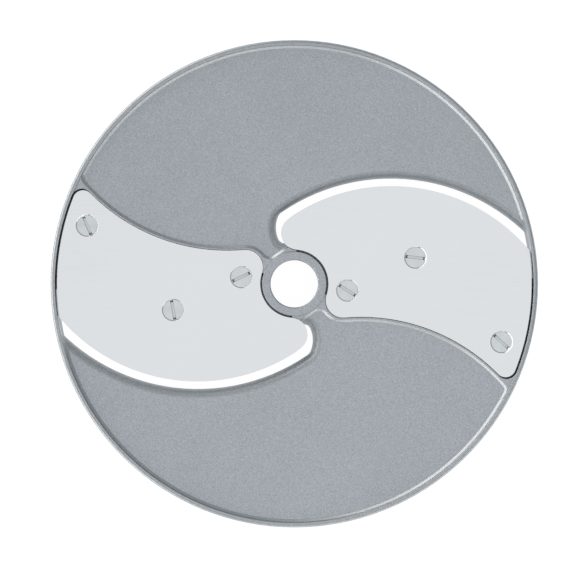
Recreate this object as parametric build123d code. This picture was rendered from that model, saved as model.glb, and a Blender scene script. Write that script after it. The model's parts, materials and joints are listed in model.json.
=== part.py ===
from build123d import *
from math import sqrt
from typing import NamedTuple
import os

# Vegetable slicing disc of a food processor, in millimetres.
# A cast aluminium disc carries two sickle-shaped steel blades, each held by three screws.
# The origin is the middle of the hub's underside, +Z points up to the cutting side,
# and blade A lies on the +X side. Everything repeats after half a turn about Z.
# Seen from above the disc turns anticlockwise, so each blade's bowed edge leads.

# The disc as a whole
disc_diameter = 205.0
rim_height = 14.0
rim_wall = 2.2
rim_outer_round = 1.2
rim_inner_round = 0.4
rim_foot_chamfer = 0.5
plate_thickness = 4.4
underside_chamfer = 1.4

# The hub that slides on the drive shaft
hub_height = 22.0
bore_diameter = 20.2
hub_ring_wall = 3.4
hub_collar_wall = 0.2
hub_boss_wall = 7.5
hub_edge_chamfer = 0.1
bore_chamfer = 0.25
hub_foot_chamfer = 0.8
drive_slot_width = 6.0
drive_slot_depth = 6.5

# The pockets that the food slides over, and the raised lands that carry the blades
slice_thickness = 2.0
land_step = 0.6
pocket_foot_width = 1.1
pocket_foot_height = 0.8
ledge_width = 0.7
shoulder_radius = 8.8
shoulder_setback = 7.8
hub_corner_round = 4.0
rim_corner_round = 3.2

# The blades
blade_thickness = 1.5
bevel_width = 6.0
edge_thickness = 0.2
hub_gap = 0.85
rim_gap = 0.85
seat_clearance = 0.2
seat_rim_relief = 0.3
groove_depth = 2.2
groove_undercut = 0.85
rim_groove_start = -21.5
tip_radius = 7.07
tip_angle = 86.0
nose_radius = 30.0
nose_angle = 132.0
lead_radius = 75.9
lead_rim_angle = 8.2
lead_rim_round = 2.0
heel_radius = 7.3
heel_reach = 11.15
heel_angle = -33.9
trail_bow = 9.1
trail_rim_angle = -25.4
trail_rim_round = 4.3

# The windows under the blades, where the slices drop through
lip_setback = 2.6
lip_widening = 6.0
lip_round = 3.9
mouth_end_radius = 12.0
mouth_end_gap = 1.3
mouth_end_angle = 222.0
mouth_corner_round = 4.0
mouth_foot_round = 3.0
front_bow = 13.5
front_rim_angle = -1.5
front_hub_angle = 60.0
front_rim_round = 3.0
trim_allowance = 3.0

# The countersunk screws and the bosses under them
screw_head_diameter = 8.7
screw_head_land = 0.1
screw_head_recess = 0.3
screw_diameter = 4.9
screw_length = 8.0
screw_tip_chamfer = 0.5
slot_width = 1.25
slot_depth = 1.1
screw_clearance = 0.05
screw_boss_wall = 3.2
screw_boss_height = 3.0
screw_boss_chamfer = 0.5
screw_boss_taper = 0.5
outer_screw_inset = 9.8
outer_screw_angle = -15.7
middle_screw_reach = 52.1
middle_screw_angle = 12.2
inner_screw_setback = 9.0
inner_screw_angle = -7.2
slot_angles_a = {"outer": -42.7, "middle": -6.7, "inner": -33.0}
slot_angles_b = {"outer": -67.2, "middle": -79.7, "inner": 25.8}

# Sizes that follow from the ones above
disc_radius = disc_diameter / 2
rim_inner = disc_radius - rim_wall
bore_radius = bore_diameter / 2
ring_radius = bore_radius + hub_ring_wall
collar_radius = ring_radius + hub_collar_wall
boss_radius = bore_radius + hub_boss_wall
top = hub_height
land_top = top - land_step
seat = land_top - blade_thickness
floor = land_top - slice_thickness
plate_bottom = floor - plate_thickness
rim_bottom = top - rim_height
blade_hub_radius = ring_radius + hub_gap
seat_rim_radius = rim_inner + seat_rim_relief
blade_rim_radius = seat_rim_radius - rim_gap
ledge_offset = seat_clearance + ledge_width

axis_point = Vector(0, 0)
on_edge = 0.001


class Bend(NamedTuple):
    """A round stretch of an outline; its radius is negative where the metal lies outside it."""

    centre: Vector
    radius: float


def polar(distance, angle, centre=axis_point):
    return centre + Vector(distance, 0).rotate(Axis.Z, angle)


def crossing(first, second, side):
    """Where two circles cross, on the left (side 1) or right (-1) of the way between them."""
    way = second.centre - first.centre
    along = (first.radius**2 - second.radius**2 + way.length**2) / (2 * way.length)
    across = sqrt(first.radius**2 - along**2)
    ahead = way.normalized()
    return first.centre + ahead * along + ahead.rotate(Axis.Z, 90) * (across * side)


def bowed(start, end, bow):
    """The circle through two points that bulges by bow to the left of the way between them."""
    chord = end - start
    radius = (bow**2 + (chord.length / 2) ** 2) / (2 * bow)
    inward = chord.normalized().rotate(Axis.Z, -90)
    return Bend((start + end) / 2 + inward * (radius - bow), radius)


def rounding(first, second, radius, side):
    """The rounded corner of the given radius between two bends."""
    reach_first = Bend(first.centre, abs(first.radius - radius))
    reach_second = Bend(second.centre, abs(second.radius - radius))
    return Bend(crossing(reach_first, reach_second, side), radius)


def contact(first, second):
    """The point where two bends run smoothly into each other."""
    way = (second.centre - first.centre) / (first.radius - second.radius)
    return first.centre + way * first.radius


def arc(bend, start, end):
    """The shorter arc of a bend between two of its points."""
    middle = (start + end) / 2 - bend.centre
    return ThreePointArc(start, bend.centre + middle.normalized() * abs(bend.radius), end)


def smooth_outline(bends):
    """The face inside a closed run of bends, each of which touches the next."""
    joints = [contact(bend, bends[i - 1]) for i, bend in enumerate(bends)]
    ends = joints[1:] + joints[:1]
    return make_face([arc(bend, p, q) for bend, p, q in zip(bends, joints, ends)])


def both_halves(shape):
    """A shape and its copy on the other half of the disc."""
    return [shape, shape.rotate(Axis.Z, 180)]


def prism(face, low, high):
    return extrude(Pos(0, 0, low) * face, high - low)


# The circles that the blade, its seat, the window and the lands all share
hub_edge = Bend(axis_point, -blade_hub_radius)
boss_edge = Bend(axis_point, -boss_radius)
rim_edge = Bend(axis_point, rim_inner)
tip_centre = polar(blade_hub_radius + tip_radius, tip_angle)
nose_edge = Bend(polar(tip_radius - nose_radius, nose_angle, tip_centre), nose_radius)
lead_from_rim = Bend(polar(blade_rim_radius, lead_rim_angle), lead_radius)
lead_from_nose = Bend(nose_edge.centre, lead_radius - nose_radius)
lead_edge = Bend(crossing(lead_from_rim, lead_from_nose, 1), lead_radius)
trail_edge = bowed(
    polar(blade_hub_radius + heel_reach, heel_angle),
    polar(blade_rim_radius, trail_rim_angle),
    trail_bow,
)
front_edge = bowed(
    polar(boss_radius, front_hub_angle),
    polar(rim_inner, front_rim_angle),
    front_bow,
)


def blade_outline(clearance, rim_radius):
    """The outline of a blade, or with a clearance that of the seat it drops into."""
    hub = Bend(axis_point, hub_edge.radius + clearance)
    rim = Bend(axis_point, rim_radius)
    tip = Bend(tip_centre, tip_radius + clearance)
    lead = Bend(lead_edge.centre, lead_edge.radius + clearance)
    trail = Bend(trail_edge.centre, clearance - trail_edge.radius)
    return smooth_outline([
        rounding(hub, trail, heel_radius + clearance, 1),
        trail,
        rounding(trail, rim, trail_rim_round + clearance, -1),
        rim,
        rounding(rim, lead, lead_rim_round + clearance, 1),
        lead,
        Bend(nose_edge.centre, nose_edge.radius + clearance),
        tip,
        hub,
    ])


def window_outline(rim_radius):
    """The outline of the window that a blade reaches over, out to the given radius."""
    rim = Bend(axis_point, rim_radius)
    lip_centre = lead_edge.centre - Vector(0, lip_setback)
    lip = Bend(lip_centre, lead_edge.radius + lip_widening)
    end_shift = tip_radius + mouth_end_gap - mouth_end_radius
    end = Bend(polar(end_shift, mouth_end_angle, tip_centre), mouth_end_radius)
    front = Bend(front_edge.centre, -front_edge.radius)
    return smooth_outline([
        lip,
        rounding(lip, end, mouth_corner_round, 1),
        end,
        rounding(end, boss_edge, mouth_foot_round, -1),
        boss_edge,
        rounding(boss_edge, front, mouth_foot_round, 1),
        front,
        rounding(front, rim, front_rim_round, -1),
        rim,
        rounding(rim, lip, front_rim_round, 1),
    ])


def pocket_outline():
    """The pocket behind blade A. It runs into the other blade's window, which trims it."""
    collar = Bend(axis_point, -collar_radius)
    ledge = Bend(trail_edge.centre, trail_edge.radius - ledge_offset)
    shoulder_reach = Bend(axis_point, ring_radius + shoulder_setback)
    ledge_reach = Bend(ledge.centre, ledge.radius + shoulder_radius)
    shoulder = Bend(crossing(shoulder_reach, ledge_reach, 1), -shoulder_radius)
    hub_corner = rounding(collar, shoulder, hub_corner_round, -1)
    rim_corner = rounding(rim_edge, ledge, rim_corner_round, 1)
    front = Bend(-front_edge.centre, front_edge.radius + trim_allowance)
    boss = Bend(axis_point, boss_radius + trim_allowance)
    flat_start = contact(collar, hub_corner)
    flat_length = sqrt(boss.radius**2 - collar_radius**2)
    flat_end = flat_start + flat_start.normalized().rotate(Axis.Z, -90) * flat_length
    shoulder_start = contact(hub_corner, shoulder)
    ledge_start = contact(shoulder, ledge)
    ledge_end = contact(ledge, rim_corner)
    rim_start = contact(rim_corner, rim_edge)
    rim_end = crossing(rim_edge, front, 1)
    front_end = crossing(boss, front, 1)
    return make_face([
        Line(flat_end, flat_start),
        arc(hub_corner, flat_start, shoulder_start),
        arc(shoulder, shoulder_start, ledge_start),
        arc(ledge, ledge_start, ledge_end),
        arc(rim_corner, ledge_end, rim_start),
        arc(rim_edge, rim_start, rim_end),
        arc(front, rim_end, front_end),
        arc(boss, front_end, flat_end),
    ])


def groove_outline(inner_radius, outer_radius, start, end):
    """A strip around the axis, between two radii and from one direction to another."""
    inner = Bend(axis_point, inner_radius)
    outer = Bend(axis_point, outer_radius)
    return make_face([
        arc(inner, start * inner.radius, end * inner.radius),
        Line(end * inner.radius, end * outer.radius),
        arc(outer, end * outer.radius, start * outer.radius),
        Line(start * outer.radius, start * inner.radius),
    ])


class Screw(NamedTuple):
    """One screw of a blade: its name, its place and the way its slot points."""

    name: str
    place: Vector
    slot_angle: float


def screws_of_blade(slot_angles):
    """The three screws of blade A; those of blade B stand opposite them."""
    places = {
        "outer": polar(rim_inner - outer_screw_inset, outer_screw_angle),
        "middle": polar(middle_screw_reach, middle_screw_angle),
        "inner": polar(ring_radius + inner_screw_setback, inner_screw_angle),
    }
    return [Screw(name, place, slot_angles[name]) for name, place in places.items()]


# The heights of a screw's head, whose cone slopes at 45 degrees
head_top = land_top - screw_head_recess
head_radius = screw_head_diameter / 2
cone_top = head_top - screw_head_land


def turned(*profile):
    """The solid that a profile of (radius, height) points sweeps out around Z."""
    return revolve(Plane.XZ * Polygon(*profile, align=None), Axis.Z)


def screw(slot_angle):
    """A slotted countersunk screw, its slot turned to the given angle."""
    tip = head_top - screw_length
    shank_radius = screw_diameter / 2
    shape = turned(
        (0, tip),
        (shank_radius - screw_tip_chamfer, tip),
        (shank_radius, tip + screw_tip_chamfer),
        (shank_radius, cone_top - head_radius + shank_radius),
        (head_radius, cone_top),
        (head_radius, head_top),
        (0, head_top),
    )
    slot = Rectangle(2 * screw_head_diameter, slot_width).rotate(Axis.Z, slot_angle)
    return shape - prism(slot, head_top - slot_depth, head_top)


def screw_hole():
    """The hole for a screw, with the cone that its head sits in."""
    hole_radius = screw_diameter / 2 + screw_clearance
    return turned(
        (0, rim_bottom),
        (hole_radius, rim_bottom),
        (hole_radius, cone_top - head_radius + hole_radius),
        (head_radius + land_top - cone_top, land_top),
        (0, land_top),
    )


def screw_boss():
    """The round boss under the plate that a screw bites into, tapered as a casting is."""
    radius = screw_diameter / 2 + screw_boss_wall
    low = plate_bottom - screw_boss_height
    return turned(
        (0, low),
        (radius - screw_boss_chamfer, low),
        (radius, low + screw_boss_chamfer),
        (radius + screw_boss_taper, plate_bottom),
        (radius + screw_boss_taper, floor),
        (0, floor),
    )


def blade():
    """Blade A: a flat sickle, ground to an edge from below, with three countersunk holes."""
    shape = prism(blade_outline(0, blade_rim_radius), seat, land_top)
    rise = blade_thickness - edge_thickness
    grind = turned(
        (lead_edge.radius - 2 * bevel_width, seat - rise),
        (lead_edge.radius + bevel_width, seat + 2 * rise),
        (lead_edge.radius + bevel_width, seat - rise),
    )
    shape -= Pos(*lead_edge.centre) * grind
    for item in screws_of_blade(slot_angles_a):
        shape -= Pos(*item.place) * screw_hole()
    return shape


def turned_body():
    """The turned shape of the casting, before its pockets, seats and windows are cut."""
    body = prism(Circle(disc_radius), plate_bottom, top)
    body += prism(Circle(disc_radius) - Circle(rim_inner), rim_bottom, plate_bottom)
    body += prism(Circle(boss_radius), 0, plate_bottom)
    circles = body.edges().filter_by(GeomType.CIRCLE)
    under_plate = circles.filter_by_position(Axis.Z, plate_bottom, plate_bottom)
    body = chamfer(under_plate, underside_chamfer)
    circles = body.edges().filter_by(GeomType.CIRCLE)
    body = chamfer(circles.filter_by_position(Axis.Z, rim_bottom, rim_bottom), rim_foot_chamfer)
    body = chamfer(body.edges().group_by(Axis.Z)[0], hub_foot_chamfer)
    body = fillet(body.edges().group_by(Axis.Z)[-1], rim_outer_round)
    eased = rim_inner_round * (1 - sqrt(0.5))
    return body - turned(
        (ring_radius, land_top),
        (ring_radius, top - hub_edge_chamfer),
        (ring_radius - hub_edge_chamfer, top),
        (rim_inner + rim_inner_round, top),
        (rim_inner + eased, top - eased),
        (rim_inner, top - rim_inner_round),
        (rim_inner, land_top),
    )


def rolled_window():
    """The window under blade A, widened where the plate's upper edge rolls down into it."""
    surround = Circle(disc_diameter)
    plate = prism(surround - window_outline(disc_radius), rim_bottom, floor)
    around_window = plate.edges().group_by(Axis.Z)[-1].sort_by(SortBy.LENGTH)[:-1]
    return prism(surround, rim_bottom, floor) - fillet(around_window, lip_round)


def pocket():
    """What is cut away in front of blade A: the pocket and the rolled lip it ends in."""
    outline = pocket_outline().rotate(Axis.Z, 180)
    shape = prism(outline, floor, top)
    shape += rolled_window() & prism(outline, rim_bottom, floor)
    walls = outline.face().outer_wire()
    at_floor = shape.edges().filter_by_position(Axis.Z, floor, floor)
    down = Vector(0, 0, -floor)
    foot = [edge for edge in at_floor if walls.distance_to(edge @ 0.5 + down) < on_edge]
    ground = shape.faces().filter_by_position(Axis.Z, floor, floor)[0]
    return chamfer(foot, pocket_foot_width, pocket_foot_height, reference=ground)


def grooves():
    """The relief grooves beside blade A's hub edge and its rim edge."""
    heel = rounding(hub_edge, Bend(trail_edge.centre, -trail_edge.radius), heel_radius, 1)
    heel_end = heel.centre.normalized()
    tip_end = tip_centre.normalized()
    beside_hub = groove_outline(
        ring_radius, blade_hub_radius + groove_undercut, heel_end, tip_end
    )
    beside_rim = groove_outline(
        blade_rim_radius - groove_undercut, seat_rim_radius,
        polar(1, rim_groove_start), polar(1, front_rim_angle),
    )
    return [prism(outline, seat - groove_depth, top) for outline in (beside_hub, beside_rim)]


def casting():
    """The cast disc with its pockets, lands, blade seats, windows, bosses and hub."""
    body = turned_body()
    for item in screws_of_blade(slot_angles_a):
        body += both_halves(Pos(*item.place) * screw_boss())
    body -= both_halves(pocket())
    body -= both_halves(prism(window_outline(rim_inner), rim_bottom, top))
    body -= both_halves(prism(blade_outline(seat_clearance, seat_rim_radius), seat, top))
    for groove in grooves():
        body -= both_halves(groove)
    for item in screws_of_blade(slot_angles_a):
        body -= both_halves(Pos(*item.place) * screw_hole())
    body -= turned(
        (0, 0),
        (bore_radius + bore_chamfer, 0),
        (bore_radius, bore_chamfer),
        (bore_radius, top - bore_chamfer),
        (bore_radius + bore_chamfer, top),
        (0, top),
    )
    return body - prism(Rectangle(2 * boss_radius, drive_slot_width), 0, drive_slot_depth)


os.makedirs("parts", exist_ok=True)
export_step(casting(), "parts/disc_casting.step")
export_step(blade(), "parts/blade_a.step")
export_step(blade().rotate(Axis.Z, 180), "parts/blade_b.step")
for item in screws_of_blade(slot_angles_a):
    placed = Pos(*item.place) * screw(item.slot_angle)
    export_step(placed, f"parts/screw_a_{item.name}.step")
for item in screws_of_blade(slot_angles_b):
    placed = Pos(*-item.place) * screw(item.slot_angle)
    export_step(placed, f"parts/screw_b_{item.name}.step")
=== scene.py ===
import bpy
import json
from math import pi, radians
from mathutils import Euler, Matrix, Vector

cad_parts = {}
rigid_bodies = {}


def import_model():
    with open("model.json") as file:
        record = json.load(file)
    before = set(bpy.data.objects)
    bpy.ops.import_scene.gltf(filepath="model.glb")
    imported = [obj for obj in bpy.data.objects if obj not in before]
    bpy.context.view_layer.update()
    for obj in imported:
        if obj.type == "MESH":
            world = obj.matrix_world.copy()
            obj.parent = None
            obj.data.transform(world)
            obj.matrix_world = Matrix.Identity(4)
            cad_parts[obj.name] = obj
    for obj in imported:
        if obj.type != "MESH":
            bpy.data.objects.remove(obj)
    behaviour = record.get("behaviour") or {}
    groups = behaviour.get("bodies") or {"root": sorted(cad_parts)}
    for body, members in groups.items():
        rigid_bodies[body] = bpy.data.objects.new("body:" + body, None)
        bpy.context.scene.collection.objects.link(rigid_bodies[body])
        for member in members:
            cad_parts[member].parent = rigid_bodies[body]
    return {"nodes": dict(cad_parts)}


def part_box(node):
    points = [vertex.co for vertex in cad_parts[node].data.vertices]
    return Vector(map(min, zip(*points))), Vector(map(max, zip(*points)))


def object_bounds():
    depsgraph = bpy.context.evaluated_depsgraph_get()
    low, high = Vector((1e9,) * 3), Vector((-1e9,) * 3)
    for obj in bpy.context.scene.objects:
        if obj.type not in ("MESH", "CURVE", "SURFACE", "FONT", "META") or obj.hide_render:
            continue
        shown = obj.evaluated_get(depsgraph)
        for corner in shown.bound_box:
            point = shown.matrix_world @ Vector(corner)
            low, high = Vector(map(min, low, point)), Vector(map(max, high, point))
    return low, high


bl_info = {
    "name": "Slicing disc",
    "version": (1, 0, 0),
    "blender": (4, 5, 0),
    "location": "View3D > Sidebar > Slicing disc",
    "description": "Finishes the metals of a food processor's slicing disc and sets its studio",
    "category": "Object",
}

# The model is loaded into an empty file, so that its box is measured alone
for thing in list(bpy.data.objects):
    bpy.data.objects.remove(thing)
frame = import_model()
cad_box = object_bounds()

SCREWS = [name for name in frame["nodes"] if name.startswith("screw")]
BLADES = [name for name in frame["nodes"] if name.startswith("blade")]

# The heights of the disc, which stands on the floor
MILLIMETRE = 0.001
LAND_STEP = 0.6 * MILLIMETRE
SLICE_THICKNESS = 2.0 * MILLIMETRE
DISC_TOP = cad_box[1][2]
POCKET_FLOOR = DISC_TOP - LAND_STEP - SLICE_THICKNESS

# Nearly all the values of a noise lie between these two
NOISE_LOW = 0.3
NOISE_HIGH = 0.7

# Most products of two noises lie between these two
PRODUCT_LOW = 0.1
PRODUCT_HIGH = 0.4

# The rays that feel for corners and edges from each point
RAYS = 8


def linear(code):
    """An sRGB hex colour as the linear red, green, blue and alpha that the nodes take."""
    values = [int(code[i:i + 2], 16) / 255 for i in (0, 2, 4)]
    return [v / 12.92 if v <= 0.04045 else ((v + 0.055) / 1.055) ** 2.4 for v in values] + [1.0]


def add(tree, kind, inputs=None, **settings):
    """Add a node, set it up, and fill each of its inputs with a value or a link."""
    node = tree.nodes.new(kind)
    for name, value in settings.items():
        setattr(node, name, value)
    for name, value in (inputs or {}).items():
        if isinstance(value, bpy.types.NodeSocket):
            tree.links.new(value, node.inputs[name])
        else:
            node.inputs[name].default_value = value
    return node


def new_material(name):
    """An empty material, ready for its nodes."""
    material = bpy.data.materials.new(name)
    material.use_nodes = True
    material.node_tree.nodes.clear()
    return material


def painted_corner_shade(tree, metal, painted_shade, reach, shut, free):
    """The tone of a metal with painted shade darkening its corners.

    What counts is the share of open sky around a point, as far as reach: up to the share
    shut the colour is all painted shade, and from the share free on there is none.
    """
    sky = add(tree, "ShaderNodeAmbientOcclusion", {"Distance": reach}, samples=RAYS)
    unshaded = add(tree, "ShaderNodeMapRange", {
        "Value": sky.outputs["AO"], "From Min": shut, "From Max": free})
    mixed = add(tree, "ShaderNodeMix", {
        "Factor": unshaded.outputs["Result"], "A": painted_shade, "B": metal}, data_type="RGBA")
    return mixed.outputs["Result"]


def give(names, material):
    """Put a material in place of the plain one on each named part."""
    for name in names:
        for slot in frame["nodes"][name].material_slots:
            slot.material = material


class CastingFinish(bpy.types.PropertyGroup):
    """The look of the cast disc."""

    colour: bpy.props.FloatVectorProperty(
        name="Colour", description="Tone of the blasted aluminium",
        subtype="COLOR", size=4, min=0, max=1, default=linear("C6CBCF"))
    dark_grain: bpy.props.FloatVectorProperty(
        name="Dark grain", description="Tone in the hollows of the blasted skin",
        subtype="COLOR", size=4, min=0, max=1, default=linear("8A9095"))
    roughness: bpy.props.FloatProperty(
        name="Roughness", description="How far the blasted skin spreads light",
        subtype="FACTOR", min=0, max=1, default=0.4)
    cast_roughness: bpy.props.FloatProperty(
        name="Cast roughness",
        description="How far the rolled lips and the underside spread light",
        subtype="FACTOR", min=0, max=1, default=0.55)
    cast_fade: bpy.props.FloatProperty(
        name="Cast fade", description="Height over which the cast skin turns into the blasted one",
        unit="LENGTH", min=0, default=0.6 * MILLIMETRE)
    worn_edge: bpy.props.FloatProperty(
        name="Worn edge", description="Radius to which blasting and use have rounded the edges",
        unit="LENGTH", min=0, default=0.3 * MILLIMETRE)
    grain: bpy.props.FloatProperty(
        name="Grain", description="Width of one grain of the blasted skin",
        unit="LENGTH", min=0.0001, default=0.3 * MILLIMETRE)
    grain_depth: bpy.props.FloatProperty(
        name="Grain depth", description="Depth of the hollows that the beads leave",
        unit="LENGTH", min=0, default=0.008 * MILLIMETRE)
    grain_strength: bpy.props.FloatProperty(
        name="Grain strength", description="How strongly the hollows turn the light",
        subtype="FACTOR", min=0, max=1, default=0.6)
    cloud: bpy.props.FloatProperty(
        name="Cloud", description="Width of the faint clouds in the tone of the casting",
        unit="LENGTH", min=0.001, default=28 * MILLIMETRE)
    cloud_strength: bpy.props.FloatProperty(
        name="Cloud strength", description="Share by which the clouds lighten and darken the tone",
        subtype="FACTOR", min=0, max=1, default=0.02)
    # Painted shade in the narrow gaps: how far it reaches and its tone
    gap_reach: bpy.props.FloatProperty(
        name="Gap reach", description="Width up to which a gap between walls counts as narrow",
        unit="LENGTH", min=0.0001, default=1.5 * MILLIMETRE)
    gap_shade_tone: bpy.props.FloatVectorProperty(
        name="Gap tone", description="Tone of the painted_gap_shade in the narrow gaps",
        subtype="COLOR", size=4, min=0, max=1, default=linear("202020"))


class BladeFinish(bpy.types.PropertyGroup):
    """The look of the two blades."""

    colour: bpy.props.FloatVectorProperty(
        name="Colour", description="Tone of the polished stainless steel",
        subtype="COLOR", size=4, min=0, max=1, default=linear("D8DADC"))
    low_roughness: bpy.props.FloatProperty(
        name="Low roughness", description="Roughness where the polish is best",
        subtype="FACTOR", min=0, max=1, default=0.12)
    high_roughness: bpy.props.FloatProperty(
        name="High roughness", description="Roughness where the polish is duller",
        subtype="FACTOR", min=0, max=1, default=0.2)
    haze: bpy.props.FloatProperty(
        name="Haze", description="Width of the patches where the polish is duller",
        unit="LENGTH", min=0.001, default=45.45 * MILLIMETRE)
    stroke: bpy.props.FloatProperty(
        name="Stroke", description="Length of a polishing stroke",
        unit="LENGTH", min=0.001, default=14 * MILLIMETRE)
    stroke_width: bpy.props.FloatProperty(
        name="Stroke width", description="Width of a polishing stroke",
        unit="LENGTH", min=0.0001, default=0.5 * MILLIMETRE)
    stroke_depth: bpy.props.FloatProperty(
        name="Stroke depth", description="Depth of a polishing stroke",
        unit="LENGTH", min=0, default=0.003 * MILLIMETRE)
    stroke_strength: bpy.props.FloatProperty(
        name="Stroke strength", description="How strongly the strokes turn the light",
        subtype="FACTOR", min=0, max=1, default=0.1)
    # Painted shade in the corners: how far it reaches and its tone
    corner_reach: bpy.props.FloatProperty(
        name="Corner reach", description="How far the dark of a corner reaches out of it",
        unit="LENGTH", min=0.0001, default=1.0 * MILLIMETRE)
    corner_shade_tone: bpy.props.FloatVectorProperty(
        name="Corner tone", description="Tone of the soil in the corners",
        subtype="COLOR", size=4, min=0, max=1, default=linear("1E2022"))


class ScrewFinish(bpy.types.PropertyGroup):
    """The look of the six screws."""

    colour: bpy.props.FloatVectorProperty(
        name="Colour", description="Tone of the turned stainless steel",
        subtype="COLOR", size=4, min=0, max=1, default=linear("D3D7DA"))
    roughness: bpy.props.FloatProperty(
        name="Roughness", description="How far the turned face spreads light",
        subtype="FACTOR", min=0, max=1, default=0.3)
    stretch: bpy.props.FloatProperty(
        name="Stretch", description="How far the rings draw the light out sideways",
        subtype="FACTOR", min=0, max=1, default=0.9)
    tool_mark: bpy.props.FloatProperty(
        name="Tool mark", description="Distance between the rings that turning leaves",
        unit="LENGTH", min=0.0001, default=0.3 * MILLIMETRE)
    mark_depth: bpy.props.FloatProperty(
        name="Mark depth", description="Depth of the rings that turning leaves",
        unit="LENGTH", min=0, default=0.01 * MILLIMETRE)
    mark_strength: bpy.props.FloatProperty(
        name="Mark strength", description="How strongly the rings turn the light",
        subtype="FACTOR", min=0, max=1, default=0.15)
    # Painted shade in the corners: how far it reaches and its tone
    corner_reach: bpy.props.FloatProperty(
        name="Corner reach", description="How far the dark of a corner reaches out of it",
        unit="LENGTH", min=0.0001, default=0.8 * MILLIMETRE)
    corner_shade_tone: bpy.props.FloatVectorProperty(
        name="Corner tone", description="Tone of the soil in the corners",
        subtype="COLOR", size=4, min=0, max=1, default=linear("1E2022"))


class Studio(bpy.types.PropertyGroup):
    """The camera, the lamps and the floor."""

    camera_height: bpy.props.FloatProperty(
        name="Camera height", description="Height of the camera above the floor",
        unit="LENGTH", min=0.1, default=1.046)
    camera_x: bpy.props.FloatProperty(
        name="Camera X", description="How far the camera stands off the middle in X",
        unit="LENGTH", default=-0.00076)
    camera_y: bpy.props.FloatProperty(
        name="Camera Y", description="How far the camera stands off the middle in Y",
        unit="LENGTH", default=-0.00263)
    lens: bpy.props.FloatProperty(
        name="Lens", description="Focal length of the camera, in millimetres",
        unit="CAMERA", min=1, default=150)
    floor_size: bpy.props.FloatProperty(
        name="Floor size", description="Side of the square floor",
        unit="LENGTH", min=1, default=8)
    floor_glow: bpy.props.FloatProperty(
        name="Floor glow", description="Light of its own that whitens the floor",
        min=0, max=1, default=0.97)
    floor_tone: bpy.props.FloatVectorProperty(
        name="Floor tone", description="What the floor gives back of the lamps, for its shadow",
        subtype="COLOR", size=4, min=0, max=1, default=linear("585858"))
    room: bpy.props.FloatVectorProperty(
        name="Room", description="Tone of the room around the object",
        subtype="COLOR", size=4, min=0, max=1, default=linear("BABCBE"))
    top_power: bpy.props.FloatProperty(
        name="Top lamp", description="Power of the lamp overhead",
        unit="POWER", min=0, default=4.6)
    upper_power: bpy.props.FloatProperty(
        name="Upper left lamp", description="Power of the lamp low at the upper left",
        unit="POWER", min=0, default=18)
    lower_power: bpy.props.FloatProperty(
        name="Lower left lamp", description="Power of the lamp low at the lower left",
        unit="POWER", min=0, default=18)
    right_power: bpy.props.FloatProperty(
        name="Right lamp", description="Power of the lamp low on the right",
        unit="POWER", min=0, default=12)
    top_light: bpy.props.FloatVectorProperty(
        name="Top light", description="Tint of the lamp overhead",
        subtype="COLOR", min=0, max=1, default=(1.0, 1.0, 1.0))
    side_light: bpy.props.FloatVectorProperty(
        name="Side light", description="Tint of the lamps around, a little warmer",
        subtype="COLOR", min=0, max=1, default=(1.0, 0.95, 0.9))


class FinishCasting(bpy.types.Operator):
    """Give the cast disc its blasted aluminium"""

    bl_idname = "slicing_disc.finish_casting"
    bl_label = "Finish the casting"
    bl_options = {"REGISTER", "UNDO"}

    def execute(self, context):
        finish = context.scene.slicing_disc_casting
        # Bead-blasted cast aluminium: the beads leave a dull grey skin of tiny even hollows,
        # seen as a soft sparkle. Real hollows are about 0.1 mm wide and are drawn coarser to show.
        material = new_material("blasted cast aluminium")
        tree = material.node_tree
        place = add(tree, "ShaderNodeTexCoord").outputs["Object"]
        grain = add(tree, "ShaderNodeTexNoise", {
            "Vector": place, "Scale": 1 / finish.grain, "Detail": 3.0, "Roughness": 0.65})
        hollows = add(tree, "ShaderNodeMapRange", {
            "Value": grain.outputs["Fac"], "From Min": NOISE_LOW, "From Max": NOISE_HIGH})
        speckled = add(tree, "ShaderNodeMix", {
            "Factor": hollows.outputs["Result"], "A": finish.dark_grain, "B": finish.colour},
            data_type="RGBA")
        cloud = add(tree, "ShaderNodeTexNoise", {
            "Vector": place, "Scale": 1 / finish.cloud, "Detail": 2.0})
        level = add(tree, "ShaderNodeMapRange", {
            "Value": cloud.outputs["Fac"], "From Min": NOISE_LOW, "From Max": NOISE_HIGH,
            "To Min": 1 - finish.cloud_strength, "To Max": 1 + finish.cloud_strength})
        clouded = add(tree, "ShaderNodeHueSaturation", {
            "Value": level.outputs["Result"], "Color": speckled.outputs["Result"]})
        # The narrow gaps beside the blades are painted nearly black: painted shade where little
        # open sky shows
        tone = painted_corner_shade(tree, metal=clouded.outputs["Color"], painted_shade=finish.gap_shade_tone,
                      reach=finish.gap_reach, shut=0.4, free=0.7)
        edges = add(tree, "ShaderNodeBevel", {"Radius": finish.worn_edge}, samples=RAYS)
        bump = add(tree, "ShaderNodeBump", {
            "Strength": finish.grain_strength, "Distance": finish.grain_depth,
            "Height": grain.outputs["Fac"], "Normal": edges.outputs["Normal"]})
        # Nothing below the floor of the pockets is blasted, and the skin stays as cast
        height = add(tree, "ShaderNodeSeparateXYZ", {"Vector": place}).outputs["Z"]
        roughness = add(tree, "ShaderNodeMapRange", {
            "Value": height,
            "From Min": POCKET_FLOOR - finish.cast_fade, "From Max": POCKET_FLOOR,
            "To Min": finish.cast_roughness, "To Max": finish.roughness})
        shader = add(tree, "ShaderNodeBsdfPrincipled", {
            "Base Color": tone, "Metallic": 1.0,
            "Roughness": roughness.outputs["Result"], "Normal": bump.outputs["Normal"]})
        add(tree, "ShaderNodeOutputMaterial", {"Surface": shader.outputs["BSDF"]})
        give(["disc_casting"], material)
        return {"FINISHED"}


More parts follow.
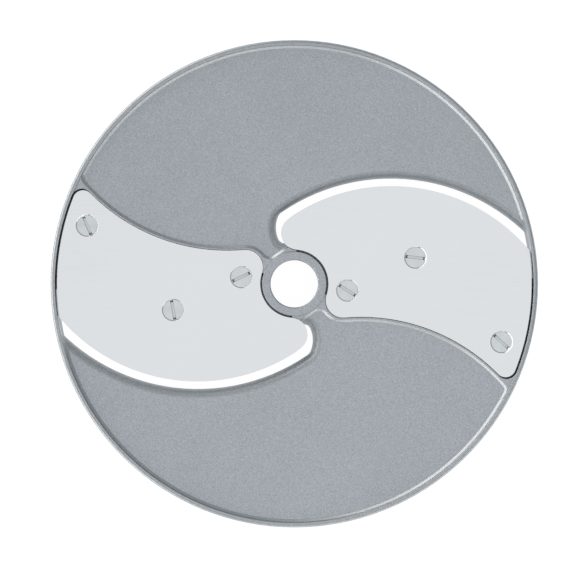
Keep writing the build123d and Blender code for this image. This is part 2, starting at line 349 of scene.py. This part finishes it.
class FinishBlades(bpy.types.Operator):
    """Give the blades their polished stainless steel"""

    bl_idname = "slicing_disc.finish_blades"
    bl_label = "Finish the blades"
    bl_options = {"REGISTER", "UNDO"}

    def execute(self, context):
        finish = context.scene.slicing_disc_blades
        # Finely polished hardened stainless steel: nearly a mirror, so the lamp overhead turns it
        # white, with strokes so fine that they only soften the picture in it.
        material = new_material("polished stainless steel")
        tree = material.node_tree
        place = add(tree, "ShaderNodeTexCoord").outputs["Object"]
        stretched = add(tree, "ShaderNodeMapping", {
            "Vector": place,
            "Scale": (1 / finish.stroke, 1 / finish.stroke_width, 1 / finish.stroke_width)})
        strokes = add(tree, "ShaderNodeTexNoise", {
            "Vector": stretched.outputs["Vector"], "Scale": 1.0, "Detail": 3.0})
        haze = add(tree, "ShaderNodeTexNoise", {
            "Vector": place, "Scale": 1 / finish.haze, "Detail": 2.0})
        dull = add(tree, "ShaderNodeMath", {
            0: strokes.outputs["Fac"], 1: haze.outputs["Fac"]}, operation="MULTIPLY")
        roughness = add(tree, "ShaderNodeMapRange", {
            "Value": dull.outputs["Value"], "From Min": PRODUCT_LOW, "From Max": PRODUCT_HIGH,
            "To Min": finish.low_roughness, "To Max": finish.high_roughness})
        bump = add(tree, "ShaderNodeBump", {
            "Strength": finish.stroke_strength, "Distance": finish.stroke_depth,
            "Height": strokes.outputs["Fac"]})
        # Painted shade in the countersinks, where the ends of the screws' slots leave them open
        tone = painted_corner_shade(tree, metal=finish.colour, painted_shade=finish.corner_shade_tone,
                      reach=finish.corner_reach, shut=0.6, free=0.85)
        shader = add(tree, "ShaderNodeBsdfPrincipled", {
            "Base Color": tone, "Metallic": 1.0,
            "Roughness": roughness.outputs["Result"], "Normal": bump.outputs["Normal"]})
        add(tree, "ShaderNodeOutputMaterial", {"Surface": shader.outputs["BSDF"]})
        give(BLADES, material)
        return {"FINISHED"}


class FinishScrews(bpy.types.Operator):
    """Give each screw its turned stainless steel, ringed around its own middle"""

    bl_idname = "slicing_disc.finish_screws"
    bl_label = "Finish the screws"
    bl_options = {"REGISTER", "UNDO"}

    def execute(self, context):
        finish = context.scene.slicing_disc_screws
        for name in SCREWS:
            give([name], self.turned_steel(name, finish))
        return {"FINISHED"}

    def turned_steel(self, name, finish):
        """The steel of one screw."""
        low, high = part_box(name)
        middle = (Vector(low) + Vector(high)) / 2
        # Turned stainless steel: rings around the screw's middle draw the light out sideways.
        # Real tool marks are about 0.1 mm apart and are drawn wider to show.
        material = new_material("turned stainless steel " + name)
        tree = material.node_tree
        place = add(tree, "ShaderNodeTexCoord").outputs["Object"]
        centred = add(tree, "ShaderNodeMapping", {
            "Vector": place, "Location": (-middle.x, -middle.y, 0)})
        rings = add(tree, "ShaderNodeTexWave", {
            "Vector": centred.outputs["Vector"], "Scale": 1 / (pi * finish.tool_mark)},
            wave_type="RINGS", rings_direction="Z")
        bump = add(tree, "ShaderNodeBump", {
            "Strength": finish.mark_strength, "Distance": finish.mark_depth,
            "Height": rings.outputs["Fac"]})
        around = add(tree, "ShaderNodeVectorMath", {
            0: (0, 0, 1), 1: centred.outputs["Vector"]}, operation="CROSS_PRODUCT")
        # Painted shade darkens the corners of the slot and the seam round the head
        tone = painted_corner_shade(tree, metal=finish.colour, painted_shade=finish.corner_shade_tone,
                      reach=finish.corner_reach, shut=0.3, free=0.7)
        shader = add(tree, "ShaderNodeBsdfPrincipled", {
            "Base Color": tone, "Metallic": 1.0,
            "Roughness": finish.roughness, "Anisotropic": finish.stretch,
            "Normal": bump.outputs["Normal"], "Tangent": around.outputs["Vector"]})
        add(tree, "ShaderNodeOutputMaterial", {"Surface": shader.outputs["BSDF"]})
        return material


class SetStage(bpy.types.Operator):
    """Set up the pale floor, the soft lamps, the room and the camera overhead"""

    bl_idname = "slicing_disc.set_stage"
    bl_label = "Set the stage"
    bl_options = {"REGISTER", "UNDO"}

    def execute(self, context):
        studio = context.scene.slicing_disc_studio
        scene = context.scene
        bpy.ops.object.select_all(action="DESELECT")

        # White painted floor: white to the eye and in the metal, and a little dull for the shadow
        bpy.ops.mesh.primitive_plane_add(size=studio.floor_size, location=(0, 0, 0))
        floor = context.object
        floor.name = "floor"
        material = new_material("white painted floor")
        tree = material.node_tree
        path = add(tree, "ShaderNodeLightPath")
        seen = add(tree, "ShaderNodeMath", {
            0: path.outputs["Is Camera Ray"], 1: path.outputs["Is Glossy Ray"]},
            operation="MAXIMUM")
        seen_too = add(tree, "ShaderNodeMath", {
            0: seen.outputs["Value"], 1: path.outputs["Is Transmission Ray"]},
            operation="MAXIMUM")
        strength = add(tree, "ShaderNodeMath", {
            0: seen_too.outputs["Value"], 1: studio.floor_glow}, operation="MULTIPLY")
        glow = add(tree, "ShaderNodeEmission", {"Strength": strength.outputs["Value"]})
        paint = add(tree, "ShaderNodeBsdfDiffuse", {"Color": studio.floor_tone})
        both = add(tree, "ShaderNodeAddShader", {
            0: glow.outputs["Emission"], 1: paint.outputs["BSDF"]})
        add(tree, "ShaderNodeOutputMaterial", {"Surface": both.outputs["Shader"]})
        floor.data.materials.append(material)

        # The room: an even pale grey
        world = bpy.data.worlds.new("pale room")
        world.use_nodes = True
        world.node_tree.nodes["Background"].inputs["Color"].default_value = studio.room
        scene.world = world

        # A soft lamp overhead for the blades
        self.lamp("top lamp", azimuth=-60, elevation=84, distance=2.2, width=1.6, height=1.6,
                  power=studio.top_power, light=studio.top_light)
        # Two low ones on the left that draw the bright lines along the rim
        self.lamp("upper left lamp", azimuth=140, elevation=20, distance=1.8, width=2.5,
                  height=1.1, power=studio.upper_power, light=studio.side_light)
        self.lamp("lower left lamp", azimuth=210, elevation=20, distance=1.8, width=2.5,
                  height=1.1, power=studio.lower_power, light=studio.side_light)
        # A weaker one low on the right
        self.lamp("right lamp", azimuth=298, elevation=18, distance=1.8, width=3.0,
                  height=1.0, power=studio.right_power, light=studio.side_light)

        camera = bpy.data.cameras.new("camera")
        camera.lens = studio.lens
        camera_object = bpy.data.objects.new("camera", camera)
        camera_object.location = (studio.camera_x, studio.camera_y, studio.camera_height)
        scene.collection.objects.link(camera_object)
        scene.camera = camera_object
        scene.view_settings.view_transform = "Standard"
        return {"FINISHED"}

    def lamp(self, name, azimuth, elevation, distance, width, height, power, light):
        """A soft lamp that faces the middle of the disc: degrees, metres and watts."""
        place = Vector((distance, 0, 0))
        place.rotate(Euler((0, -radians(elevation), radians(azimuth))))
        bpy.ops.object.light_add(type="AREA", location=place)
        lamp = bpy.context.object
        lamp.name = name
        lamp.data.shape = "RECTANGLE"
        lamp.data.size = width
        lamp.data.size_y = height
        lamp.data.energy = power
        lamp.data.color = light
        lamp.rotation_euler = (-place).to_track_quat("-Z", "Y").to_euler()


# Each step's name in the scene, its settings and its operator
STEPS = [
    ("slicing_disc_casting", CastingFinish, FinishCasting),
    ("slicing_disc_blades", BladeFinish, FinishBlades),
    ("slicing_disc_screws", ScrewFinish, FinishScrews),
    ("slicing_disc_studio", Studio, SetStage),
]


class DiscPanel(bpy.types.Panel):
    """The sizes, tones and steps of the slicing disc"""

    bl_idname = "VIEW3D_PT_slicing_disc"
    bl_label = "Slicing disc"
    bl_space_type = "VIEW_3D"
    bl_region_type = "UI"
    bl_category = "Slicing disc"

    def draw(self, context):
        for name, settings, operator in STEPS:
            box = self.layout.box()
            for setting in settings.__annotations__:
                box.prop(getattr(context.scene, name), setting)
            box.operator(operator.bl_idname)


def register():
    for name, settings, operator in STEPS:
        bpy.utils.register_class(settings)
        bpy.utils.register_class(operator)
        setattr(bpy.types.Scene, name, bpy.props.PointerProperty(type=settings))
    bpy.utils.register_class(DiscPanel)


def unregister():
    bpy.utils.unregister_class(DiscPanel)
    for name, settings, operator in reversed(STEPS):
        delattr(bpy.types.Scene, name)
        bpy.utils.unregister_class(operator)
        bpy.utils.unregister_class(settings)


def main():
    register()
    bpy.ops.slicing_disc.finish_casting()
    bpy.ops.slicing_disc.finish_blades()
    bpy.ops.slicing_disc.finish_screws()
    bpy.ops.slicing_disc.set_stage()


if __name__ == "__main__":
    main()
